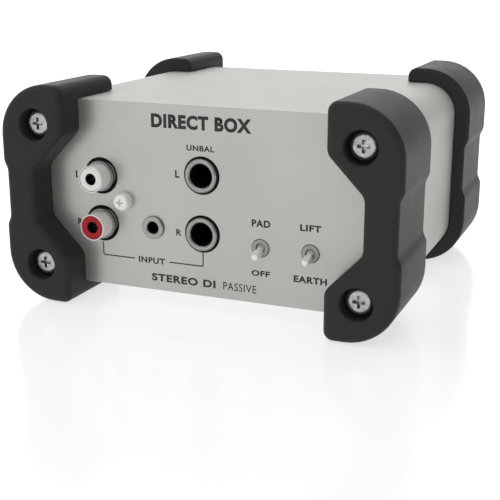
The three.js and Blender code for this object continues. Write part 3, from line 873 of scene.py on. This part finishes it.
class DIBOX_OT_toggles(Operator):
    """Two toggle switches with bat levers"""
    bl_idname = "dibox.toggles"
    bl_label = "Toggle switches"

    # Profiles of (radius, y, fillet): the bush from the plate, the lever from its pivot
    bush = (
        (2.2, 3.4, 0), (2.2, -0.05, 0.05), (1.5, -0.05, 0.05), (1.5, -0.25, 0.08),
        (2.65, -0.25, 0.1), (2.65, 2.6, 0), (3.2, 2.6, 0), (3.2, 3.4, 0), (2.2, 3.4, 0),
    )
    bat = (
        (0, -7.4, 0), (1.2, -7.4, 0.9), (1.3, -5.2, 2), (0.95, -2.0, 0.4), (0.8, -1.7, 0.2),
        (0.8, -1.2, 0.1), (1.3, -0.8, 0.3), (1.3, 0.8, 0.3), (0.72, 1.35, 0.2), (0.7, 4, 0.3), (0, 4, 0),
    )
    # The strip behind the plate: its size, its depth and the cutter for its hole
    strip_size, strip_depth = (6.6, 0.8, 12.7), 3
    strip_hole = ((0, 2), (2.6, 2), (2.6, 4), (0, 4))
    # The ball's cap, its outer and inner arcs in degrees from the lever's own radius
    cap_radius, cap_wall, cap_outer, cap_inner = 2.4, 0.3, (-69, -46), (-46, -67)
    # The cutter for a flat cheek, and the tip's end, half thickness and taper
    cheek_size = (4, 12, 2)
    tip, tip_half, tip_taper = -7.4, 0.85, math.radians(3)
    rest_tilt, lever_steps = math.radians(13), 32

    def execute(self, context):
        for duty in ("pad", "lift"):
            spot = node_middle(f"switch_frame_{duty}")
            centre = (spot.x, FACE, spot.z)
            profile = filleted(self.bush, closed=False, degrees_per_step=30)
            bush = turned(f"switch_bush_{duty}", profile, centre)
            middle = (spot.x, FACE + self.strip_depth, spot.z)
            strip = block("strip", self.strip_size, middle, 0.1)
            combine(strip, turned("hole", self.strip_hole, centre), "DIFFERENCE")
            combine(bush, strip, "UNION")
            dress(bush, [f"switch_frame_{duty}"], "phosphate")
            self.lever(duty)
        paint_nodes(["switch_body_pad", "switch_body_lift"], "black")
        return {"FINISHED"}

    def lever(self, duty):
        """Bat lever about its pivot, flatter towards its tip, and the ball's grey cap that closes
        the bush, both tilted to their rest."""
        joint = next(j for j in frame["joints"] if j["name"] == f"{duty}_toggle")
        pivot = [c / MM for c in joint["pos_m"]]
        profile = filleted(self.bat, closed=False, degrees_per_step=12)
        bat = turned("bat", profile, steps=self.lever_steps)
        for side in (1, -1):
            middle = (0, 0, side * self.cheek_size[2] / 2)
            pattern = block("cheek_pattern", self.cheek_size, middle, 0)
            spot = (0, self.tip, side * self.tip_half)
            cheek = copied(pattern, "cheek", spot, (side * self.tip_taper, 0, 0))
            discard(pattern)
            combine(bat, cheek, "DIFFERENCE")
        lever = copied(bat, f"toggle_bat_{duty}", pivot, (self.rest_tilt, 0, 0))
        discard(bat)
        moving = f"{duty}_lever"
        # The lever's nearly white finish is painted light.
        dress(lever, [f"switch_lever_{duty}"], "satin_painted_light", moving)
        outer = arc_points((0, 0), self.cap_radius, *self.cap_outer)
        inner = arc_points((0, 0), self.cap_radius - self.cap_wall, *self.cap_inner)
        cap = turned("cap", [*outer, *inner, outer[0]], steps=self.lever_steps)
        ball = copied(cap, f"toggle_ball_{duty}", pivot, (self.rest_tilt, 0, 0))
        discard(cap)
        dress(ball, [], "phosphate", moving)


class DIBOX_OT_outputs(Operator):
    """Two three-pin male connectors on the rear plate"""
    bl_idname = "dibox.outputs"
    bl_label = "Rear outputs"

    flange, flange_corner, flange_thickness = (26, 31), 3, 2
    barrel, cup, mouth, depth = 11.6, 8.15, 0.5, 21
    fixing = (9.5, 12)
    # Profiles of (radius, y from the flange's face, fillet)
    screw = (
        (0, 0.1, 0), (2.75, 0.1, 0.12), (2.75, 0.32, 0.05), (1.5, 1.65, 0.1), (1.5, 7.4, 0.3), (0, 8, 0),
    )
    countersink = ((0, -1), (3.05, -1), (3.05, 0.3), (1.8, 1.65), (1.8, 3), (0, 3))
    sunk, recess, recess_depth = 0.1, 2.1, 1.2

    def execute(self, context):
        pattern = turned("screw_pattern", filleted(self.screw, closed=False, degrees_per_step=12))
        recess = cross_recess_tool(self.recess, self.sunk, self.recess_depth)
        combine(pattern, recess, "DIFFERENCE")
        for hand in HANDS:
            self.shell(hand)
            paint_nodes([f"xlr_insert_{hand}"], "black")
            paint_nodes([f"xlr_pin_{hand}_{number}" for number in (1, 2, 3)], "nickel")
            for level in LEVELS:
                node = f"xlr_screw_{hand}_{level}"
                spot = node_middle(node)
                face = node_edges(node)[1].y + self.sunk
                screw = copied(pattern, f"{node}_zinc", (spot.x, face, spot.z), (0, 0, math.pi))
                dress(screw, [node], "zinc")
        discard(pattern)
        return {"FINISHED"}

    def shell(self, hand):
        """Flange, barrel and cup, made facing the front and turned to the rear."""
        spot = node_middle(f"xlr_shell_{hand}")
        x, z = -spot.x, spot.z
        front = FACE - self.flange_thickness
        outline = rounded_rectangle(*self.flange, self.flange_corner)
        made = extruded("shell_pattern", outline, front, FACE, (x, z))
        round_rim(made, front, self.mouth, segments=4)
        profile = [
            (0, -OVERRUN), (self.barrel, -OVERRUN), (self.barrel, self.depth), (0, self.depth)]
        combine(made, turned("barrel", profile, (x, FACE, z)), "UNION")
        rim = self.mouth - self.flange_thickness
        lip = arc_points((self.cup + self.mouth, rim), self.mouth, 270, 180, 4)
        start, end = -self.flange_thickness - OVERRUN, self.depth + OVERRUN
        profile = [(0, start), (self.cup + self.mouth, start), *lip, (self.cup, end), (0, end)]
        combine(made, turned("cup", profile, (x, FACE, z)), "DIFFERENCE")
        across, up = self.fixing
        for side in (-1, 1):
            spot = (x + side * across, front, z - side * up)
            combine(made, turned("countersink", self.countersink, spot), "DIFFERENCE")
        shell = copied(made, f"output_shell_{hand}", turn=(0, 0, math.pi))
        discard(made)
        dress(shell, [f"xlr_shell_{hand}"], "cast_shell")


class DIBOX_OT_inside(Operator):
    """Finishes of the board and the transformers"""
    bl_idname = "dibox.inside"
    bl_label = "Inside"

    def execute(self, context):
        paint_nodes(["circuit_board"], "board")
        paint_nodes([f"transformer_core_{hand}" for hand in HANDS], "core")
        paint_nodes([f"transformer_winding_{hand}" for hand in HANDS], "winding")
        return {"FINISHED"}


class DIBOX_OT_legends(Operator):
    """Printed legends of the front plate"""
    bl_idname = "dibox.legends"
    bl_label = "Legends"

    # Letter spacing, half the width of a line, and its inner and outer corner
    spacing, line_half, line_inner, line_outer = 1.12, 0.2, 0.5, 0.8
    # Words, left and right ends, foot and head from the middle of the plate, and boldness
    words = (
        ("DIRECT BOX", -16.7, 16.0, 22.2, 26.5, 0.05),
        ("UNBAL", -5.0, 4.1, 15.9, 17.65, 0.03),
        ("L", -9.0, -7.5, 7.3, 9.6, 0.035),
        ("R", -9.0, -7.2, -10.9, -8.85, 0.035),
        ("L", -44.0, -42.5, 4.6, 6.8, 0.035),
        ("R", -44.0, -42.2, -10.8, -8.7, 0.035),
        ("INPUT", -22.4, -13.15, -20.95, -18.96, 0.035),
        ("STEREO DI", -17.85, 4.1, -26.5, -24.0, 0.04),
        ("PASSIVE", 6.7, 17.6, -26.5, -24.0, 0.005),
        ("PAD", 16.1, 22.1, -5.5, -3.3, 0.04),
        ("OFF", 16.1, 22.0, -20.8, -19.0, 0.04),
        ("LIFT", 31.4, 37.9, -5.3, -3.3, 0.04),
        ("EARTH", 29.6, 40.0, -21.2, -19.1, 0.04),
    )
    # Where each bracket's upright stands, its top and foot, and where its inner end stops
    brackets = ((-35.0, -15.6, -19.85, -23.8), (0.0, -15.4, -19.85, -11.6))

    def word(self, text, left, right, foot, head, bold, depth):
        """One word, stretched to its place on the plate and given its depth of ink."""
        start_piece()
        bpy.ops.object.text_add()
        letters = bpy.context.active_object
        letters.data.body = text
        letters.data.resolution_u = 4
        letters.data.offset = bold
        letters.data.space_character = self.spacing
        bpy.ops.object.convert(target="MESH")
        xs = [v.co.x for v in letters.data.vertices]
        ys = [v.co.y for v in letters.data.vertices]
        wide = (right - left) * MM / (max(xs) - min(xs))
        tall = (head - foot) * MM / (max(ys) - min(ys))
        letters.scale = (wide, tall, 1)
        bpy.ops.object.transform_apply(location=True, rotation=True, scale=True)
        letters.location = (
            left * MM - min(xs) * wide, (FACE - depth) * MM,
            (MIDDLE_HEIGHT + foot) * MM - min(ys) * tall)
        letters.rotation_euler = (math.pi / 2, 0, 0)
        bpy.ops.object.transform_apply(location=True, rotation=True, scale=True)
        edit_whole(letters)
        bpy.ops.mesh.remove_doubles(threshold=DOUBLES * MM)
        bpy.ops.mesh.extrude_region_move(TRANSFORM_OT_translate={"value": (0, 2 * depth * MM, 0)})
        tidy_mesh()
        return letters

    def bracket(self, outer_x, top, foot, inner_x, depth):
        """A line down from a socket and in to the word between them."""
        half = self.line_half
        toward = 1 if inner_x > outer_x else -1
        corners = [
            (outer_x - toward * half, top, 0), (outer_x + toward * half, top, 0),
            (outer_x + toward * half, foot + half, self.line_inner), (inner_x, foot + half, 0),
            (inner_x, foot - half, 0), (outer_x - toward * half, foot - half, self.line_outer),
        ]
        return extruded("bracket", filleted(corners), FACE - depth, FACE + depth)

    def execute(self, context):
        depth = context.scene.di_box_shape.legend_depth / MM
        pieces = [self.word(*word, depth) for word in self.words]
        pieces += [self.bracket(*bracket, depth) for bracket in self.brackets]
        legends = joined(pieces, "front_legends")
        drop_slivers(legends)
        tie(legends, [], "ink")
        return {"FINISHED"}


class DIBOX_OT_stage(Operator):
    """Pale floor, soft lights and the camera"""
    bl_idname = "dibox.stage"
    bl_label = "Stage"

    floor_size, floor_drop, floor_glow = 12, 0.0002, 0.68
    # The backdrop fades from its full strength towards the right
    backdrop_start, backdrop_end = 0.1, 0.9
    backdrop_strong, backdrop_weak = 0.95, 0.22
    # Name, size, watts, place and what it is turned towards
    softboxes = (
        ("overhead_softbox", (0.9, 0.9), 1.2, (0, 0.15, 0.9), (0, 0, 0)),
        ("rear_softbox", (1.2, 0.6), 0.8, (-0.45, 1.06, 0.42), (0, 0, 0.03)),
    )
    camera_place = (0.12721, -0.32289, 0.1065)
    camera_turn = (math.radians(73.879), 0, math.radians(22.338))
    camera_lens, camera_sensor, camera_near = 73.33, 36, 0.01

    def light(self, name, size, watts, place, target):
        """A rectangular softbox at a place, turned towards its target."""
        start_piece()
        bpy.ops.object.light_add(type="AREA", location=place)
        lamp = bpy.context.active_object
        lamp.name = name
        lamp.data.shape = "RECTANGLE"
        lamp.data.size, lamp.data.size_y = size
        lamp.data.energy = watts
        lamp.rotation_euler = (Vector(target) - Vector(place)).to_track_quat("-Z", "Y").to_euler()

    def execute(self, context):
        start_piece()
        bpy.ops.mesh.primitive_plane_add(size=self.floor_size, location=(0, 0, -self.floor_drop))
        floor = bpy.context.active_object
        floor.name = "studio_floor"
        opal = linear("#A2A2A2")
        sheet = surface(
            "back_lit_opal_acrylic", opal, toned(opal, 0.97), patch=400, grain=2, height=0.001,
            roughness=(0.14, 0.16),
            constants={
                "IOR": 1.4, "Emission Color": (1, 1, 1, 1), "Emission Strength": self.floor_glow})
        floor.data.materials.append(sheet)
        world = bpy.data.worlds.new("studio_world")
        world.use_nodes = True
        tree = world.node_tree
        tree.nodes.clear()
        direction = add_node(tree, "ShaderNodeTexCoord").outputs["Generated"]
        axes = add_node(tree, "ShaderNodeSeparateXYZ", {"Vector": direction})
        falling = add_node(tree, "ShaderNodeMapRange", {
            "Value": axes.outputs["X"],
            "From Min": self.backdrop_start, "From Max": self.backdrop_end,
            "To Min": self.backdrop_strong, "To Max": self.backdrop_weak})
        backdrop = add_node(tree, "ShaderNodeBackground", {
            "Color": (1, 1, 1, 1), "Strength": falling.outputs["Result"]})
        add_node(tree, "ShaderNodeOutputWorld", {"Surface": backdrop.outputs["Background"]})
        context.scene.world = world
        for softbox in self.softboxes:
            self.light(*softbox)
        start_piece()
        bpy.ops.object.camera_add(location=self.camera_place, rotation=self.camera_turn)
        camera = bpy.context.active_object
        camera.data.lens = self.camera_lens
        camera.data.sensor_width = self.camera_sensor
        camera.data.clip_start = self.camera_near
        context.scene.camera = camera
        context.scene.view_settings.view_transform = "Standard"
        return {"FINISHED"}


class DIBOX_PT_sidebar(Panel):
    """Sizes, colours and build buttons"""
    bl_idname = "DIBOX_PT_sidebar"
    bl_label = "Direct Injection Box"
    bl_space_type = "VIEW_3D"
    bl_region_type = "UI"
    bl_category = "DI Box"

    def draw(self, context):
        for group in (context.scene.di_box_shape, context.scene.di_box_finish):
            box = self.layout.box()
            for name in group.bl_rna.properties.keys():
                if name not in ("rna_type", "name"):
                    box.prop(group, name)
        for operator in OPERATORS:
            self.layout.operator(operator.bl_idname)


OPERATORS = (
    DIBOX_OT_stage, DIBOX_OT_sleeve, DIBOX_OT_plates, DIBOX_OT_guards, DIBOX_OT_guard_screws,
    DIBOX_OT_phono_sockets, DIBOX_OT_jacks, DIBOX_OT_toggles, DIBOX_OT_outputs, DIBOX_OT_inside,
    DIBOX_OT_legends,
)
CLASSES = (BoxShape, BoxFinish, *OPERATORS, DIBOX_PT_sidebar)


def register():
    for cls in CLASSES:
        bpy.utils.register_class(cls)
    bpy.types.Scene.di_box_shape = PointerProperty(type=BoxShape)
    bpy.types.Scene.di_box_finish = PointerProperty(type=BoxFinish)


def unregister():
    del bpy.types.Scene.di_box_finish
    del bpy.types.Scene.di_box_shape
    for cls in reversed(CLASSES):
        bpy.utils.unregister_class(cls)


def main():
    register()
    bpy.ops.dibox.stage()
    bpy.ops.dibox.sleeve()
    bpy.ops.dibox.plates()
    bpy.ops.dibox.guards()
    bpy.ops.dibox.guard_screws()
    bpy.ops.dibox.phono_sockets()
    bpy.ops.dibox.jacks()
    bpy.ops.dibox.toggles()
    bpy.ops.dibox.outputs()
    bpy.ops.dibox.inside()
    bpy.ops.dibox.legends()


if __name__ == "__main__":
    main()
